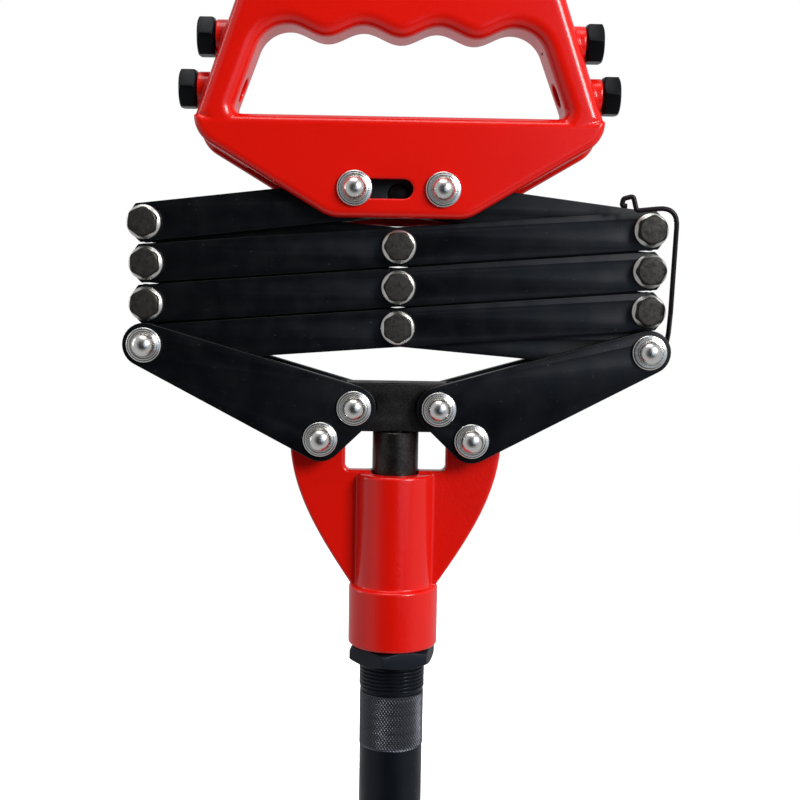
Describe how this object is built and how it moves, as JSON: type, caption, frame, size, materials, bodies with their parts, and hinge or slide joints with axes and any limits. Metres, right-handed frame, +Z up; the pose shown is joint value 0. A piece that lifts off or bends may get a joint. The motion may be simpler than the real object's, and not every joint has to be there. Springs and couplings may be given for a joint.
{
  "type": "lazy tong riveter",
  "caption": "Hand riveter with crossed tong links, bell-crank levers, a scalloped D-shaped handle and a long slim barrel, folded shut.",
  "frame": {"origin": "tip of the fitted nosepiece on the barrel's axis", "axes": "+Z up the barrel towards the handle, +X to the right seen from the front, the front faces -Y"},
  "size_m": [0.2108, 0.0366, 0.3677],
  "materials": {
    "red_enamel": "gloss enamel on die-cast aluminium",
    "blackened_steel": "black oxide, satin",
    "zinc_plated_steel": "bright zinc",
    "phosphated_bolt_steel": "dark phosphate, worn bright at the edges",
    "ground_grey_steel": "ground, oiled",
    "spring_steel": "bright wire"
  },
  "bodies": {
    "housing": {"housing_casting": "red_enamel", "barrel_tube": "blackened_steel", "barrel_lock_nut": "blackened_steel", "nosepiece": "blackened_steel", "ear_pin_left": "zinc_plated_steel", "ear_pin_right": "zinc_plated_steel"},
    "pull_rod": {"crosshead": "ground_grey_steel", "pull_rod": "ground_grey_steel", "jaw_case": "ground_grey_steel"},
    "jaws": {"jaw_left": "ground_grey_steel", "jaw_right": "ground_grey_steel", "jaw_pusher": "ground_grey_steel", "jaw_spring": "spring_steel"},
    "lever_left": {"lever_left_front": "blackened_steel", "lever_left_back": "blackened_steel", "crosshead_pin_left": "zinc_plated_steel", "tong_pin_left": "zinc_plated_steel"},
    "lever_right": {"lever_right_front": "blackened_steel", "lever_right_back": "blackened_steel", "crosshead_pin_right": "zinc_plated_steel", "tong_pin_right_front": "zinc_plated_steel", "tong_pin_right_back": "zinc_plated_steel"},
    "latch": {"wire_latch": "blackened_steel"},
    "link_outer_3": {"tong_link_outer_3_front": "blackened_steel", "tong_link_outer_3_back": "blackened_steel", "tong_bolt_centre_3": "phosphated_bolt_steel", "tong_nut_centre_3": "phosphated_bolt_steel", "tong_bolt_right_3": "phosphated_bolt_steel", "tong_nut_right_3": "phosphated_bolt_steel"},
    "link_inner_3": {"tong_link_inner_3": "blackened_steel"},
    "link_inner_2": {"tong_link_inner_2": "blackened_steel"},
    "link_outer_2": {"tong_link_outer_2_front": "blackened_steel", "tong_link_outer_2_back": "blackened_steel", "tong_bolt_centre_2": "phosphated_bolt_steel", "tong_nut_centre_2": "phosphated_bolt_steel", "tong_bolt_left_3": "phosphated_bolt_steel", "tong_nut_left_3": "phosphated_bolt_steel", "tong_bolt_right_2": "phosphated_bolt_steel", "tong_nut_right_2": "phosphated_bolt_steel"},
    "link_outer_1": {"tong_link_outer_1_front": "blackened_steel", "tong_link_outer_1_back": "blackened_steel", "tong_bolt_centre_1": "phosphated_bolt_steel", "tong_nut_centre_1": "phosphated_bolt_steel", "tong_bolt_left_2": "phosphated_bolt_steel", "tong_nut_left_2": "phosphated_bolt_steel", "tong_bolt_right_1": "phosphated_bolt_steel", "tong_nut_right_1": "phosphated_bolt_steel"},
    "link_inner_1": {"tong_link_inner_1": "blackened_steel"},
    "link_inner_top": {"tong_link_inner_top": "blackened_steel", "handle_pin_sliding": "zinc_plated_steel"},
    "link_outer_top": {"tong_link_outer_top_front": "blackened_steel", "tong_link_outer_top_back": "blackened_steel", "tong_bolt_left_1": "phosphated_bolt_steel", "tong_nut_left_1": "phosphated_bolt_steel"},
    "handle": {"handle_casting": "red_enamel", "handle_pin_fixed": "zinc_plated_steel", "spare_nosepiece_1": "blackened_steel", "spare_nosepiece_2": "blackened_steel", "spare_nosepiece_3": "blackened_steel", "spare_nosepiece_4": "blackened_steel"}
  },
  "joints": [
    {"name": "tong_fold", "type": "hinge", "parent": "housing", "child": "lever_left", "pos_m": [-0.0291, 0, 0.19], "axis": [0, 1, 0], "range_deg": [0, 50]},
    {"name": "lever_right_turn", "type": "hinge", "parent": "housing", "child": "lever_right", "pos_m": [0.0291, 0, 0.19], "axis": [0, -1, 0], "range_deg": [0, 50.01]},
    {"name": "outer_3_turn", "type": "hinge", "parent": "lever_left", "child": "link_outer_3", "pos_m": [-0.09649, 0, 0.22514], "axis": [0, -1, 0], "range_deg": [0, 107.37]},
    {"name": "inner_3_turn", "type": "hinge", "parent": "link_outer_3", "child": "link_inner_3", "pos_m": [0, 0, 0.23291], "axis": [0, 1, 0], "range_deg": [0, 114.74]},
    {"name": "inner_2_turn", "type": "hinge", "parent": "link_outer_3", "child": "link_inner_2", "pos_m": [0.09649, 0, 0.24067], "axis": [0, 1, 0], "range_deg": [0, 114.74]},
    {"name": "outer_2_turn", "type": "hinge", "parent": "link_inner_2", "child": "link_outer_2", "pos_m": [0, 0, 0.24843], "axis": [0, -1, 0], "range_deg": [0, 114.74]},
    {"name": "outer_1_turn", "type": "hinge", "parent": "link_inner_2", "child": "link_outer_1", "pos_m": [-0.09649, 0, 0.2562], "axis": [0, -1, 0], "range_deg": [0, 114.74]},
    {"name": "inner_1_turn", "type": "hinge", "parent": "link_outer_1", "child": "link_inner_1", "pos_m": [0, 0, 0.26397], "axis": [0, 1, 0], "range_deg": [0, 114.74]},
    {"name": "inner_top_turn", "type": "hinge", "parent": "link_outer_1", "child": "link_inner_top", "pos_m": [0.09649, 0, 0.27173], "axis": [0, 1, 0], "range_deg": [0, 112.4]},
    {"name": "outer_top_turn", "type": "hinge", "parent": "link_inner_top", "child": "link_outer_top", "pos_m": [-0.00038, 0, 0.28346], "axis": [0, -1, 0], "range_deg": [0, 110.06]},
    {"name": "handle_turn", "type": "hinge", "parent": "link_outer_top", "child": "handle", "pos_m": [0.01634, 0, 0.28548], "axis": [0, 1, 0], "range_deg": [0, 55.03]},
    {"name": "rod_slide", "type": "slide", "parent": "housing", "child": "pull_rod", "axis": [0, 0, -1], "range_m": [0, 0.01415]},
    {"name": "jaw_release", "type": "slide", "parent": "pull_rod", "child": "jaws", "axis": [0, 0, 1], "range_m": [0, 0.0025], "deforming": ["jaw_spring"]},
    {"name": "latch_swing", "type": "hinge", "parent": "lever_right", "child": "latch", "pos_m": [0.09649, 0, 0.22514], "axis": [0, 1, 0], "range_deg": [0, 120]}
  ],
  "couplings": [
    {"joint": "lever_right_turn", "follows": "tong_fold", "ratio": 1},
    {"joint": "outer_3_turn", "follows": "tong_fold", "ratio": 2.1473},
    {"joint": "inner_3_turn", "follows": "tong_fold", "ratio": 2.2945},
    {"joint": "inner_2_turn", "follows": "tong_fold", "ratio": 2.2945},
    {"joint": "outer_2_turn", "follows": "tong_fold", "ratio": 2.2945},
    {"joint": "outer_1_turn", "follows": "tong_fold", "ratio": 2.2945},
    {"joint": "inner_1_turn", "follows": "tong_fold", "ratio": 2.2945},
    {"joint": "inner_top_turn", "follows": "tong_fold", "ratio": 2.2477},
    {"joint": "outer_top_turn", "follows": "tong_fold", "ratio": 2.201},
    {"joint": "handle_turn", "follows": "tong_fold", "ratio": 1.1005},
    {"joint": "rod_slide", "follows": "tong_fold", "m_per_rad": 0.016189}
  ]
}
